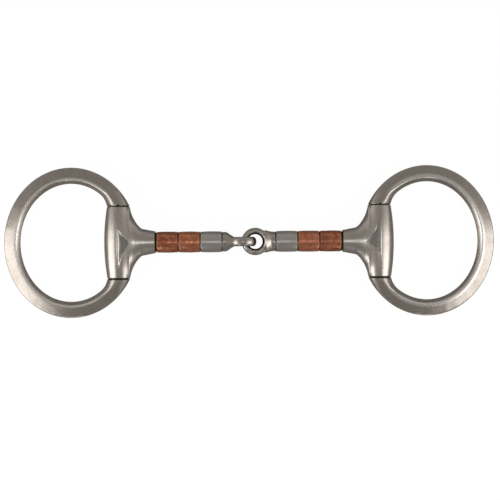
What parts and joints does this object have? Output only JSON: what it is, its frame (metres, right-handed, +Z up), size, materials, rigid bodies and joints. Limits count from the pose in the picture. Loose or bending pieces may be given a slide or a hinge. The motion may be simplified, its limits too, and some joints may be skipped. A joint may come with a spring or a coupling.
{
  "type": "snaffle bit",
  "caption": "Jointed mouthpiece with copper and steel rollers between two eggbutt barrels, each with a flat swinging ring for cheekpiece and rein.",
  "frame": {"origin": "under the centre joint, halfway between the two barrels, on the plane that the barrels rest on", "axes": "+X along the mouthpiece to the right cheek, +Y along the barrels to the upper side of the rings, +Z up, out of the flat rings"},
  "size_m": [0.2606, 0.08, 0.0152],
  "materials": {
    "satin_steel": "satin, lightly brushed stainless steel",
    "roller_steel": "turned and half-polished stainless steel",
    "roller_copper": null,
    "pin_steel": "ground flush"
  },
  "bodies": {
    "left_half": {"left_barrel": "satin_steel", "left_spindle": "satin_steel", "left_cross_pin": "pin_steel"},
    "right_half": {"right_barrel": "satin_steel", "right_spindle": "satin_steel", "right_cross_pin": "pin_steel"},
    "left_ring": {"left_cheek_ring": "satin_steel"},
    "right_ring": {"right_cheek_ring": "satin_steel"},
    "left_roller_steel": {"left_steel_roller": "roller_steel"},
    "left_roller_inner": {"left_copper_roller_inner": "roller_copper"},
    "left_roller_outer": {"left_copper_roller_outer": "roller_copper"},
    "right_roller_steel": {"right_steel_roller": "roller_steel"},
    "right_roller_inner": {"right_copper_roller_inner": "roller_copper"},
    "right_roller_outer": {"right_copper_roller_outer": "roller_copper"}
  },
  "joints": [
    {"name": "centre_fold", "type": "hinge", "parent": "left_half", "child": "right_half", "pos_m": [-0.00232, 0, 0.0076], "axis": [0, 1, 0], "range_deg": [-130, 130]},
    {"name": "left_ring_swing", "type": "hinge", "parent": "left_half", "child": "left_ring", "pos_m": [-0.0695, 0, 0.0076], "axis": [0, 1, 0], "range_deg": [-168, 168]},
    {"name": "right_ring_swing", "type": "hinge", "parent": "right_half", "child": "right_ring", "pos_m": [0.0695, 0, 0.0076], "axis": [0, -1, 0], "range_deg": [-168, 168]},
    {"name": "left_steel_roller_spin", "type": "hinge", "parent": "left_half", "child": "left_roller_steel", "pos_m": [-0.02008, 0, 0.0076], "axis": [1, 0, 0], "continuous": true},
    {"name": "left_inner_roller_spin", "type": "hinge", "parent": "left_half", "child": "left_roller_inner", "pos_m": [-0.03175, 0, 0.0076], "axis": [1, 0, 0], "continuous": true},
    {"name": "left_outer_roller_spin", "type": "hinge", "parent": "left_half", "child": "left_roller_outer", "pos_m": [-0.04342, 0, 0.0076], "axis": [1, 0, 0], "continuous": true},
    {"name": "right_steel_roller_spin", "type": "hinge", "parent": "right_half", "child": "right_roller_steel", "pos_m": [0.02008, 0, 0.0076], "axis": [1, 0, 0], "continuous": true},
    {"name": "right_inner_roller_spin", "type": "hinge", "parent": "right_half", "child": "right_roller_inner", "pos_m": [0.03175, 0, 0.0076], "axis": [1, 0, 0], "continuous": true},
    {"name": "right_outer_roller_spin", "type": "hinge", "parent": "right_half", "child": "right_roller_outer", "pos_m": [0.04342, 0, 0.0076], "axis": [1, 0, 0], "continuous": true}
  ]
}
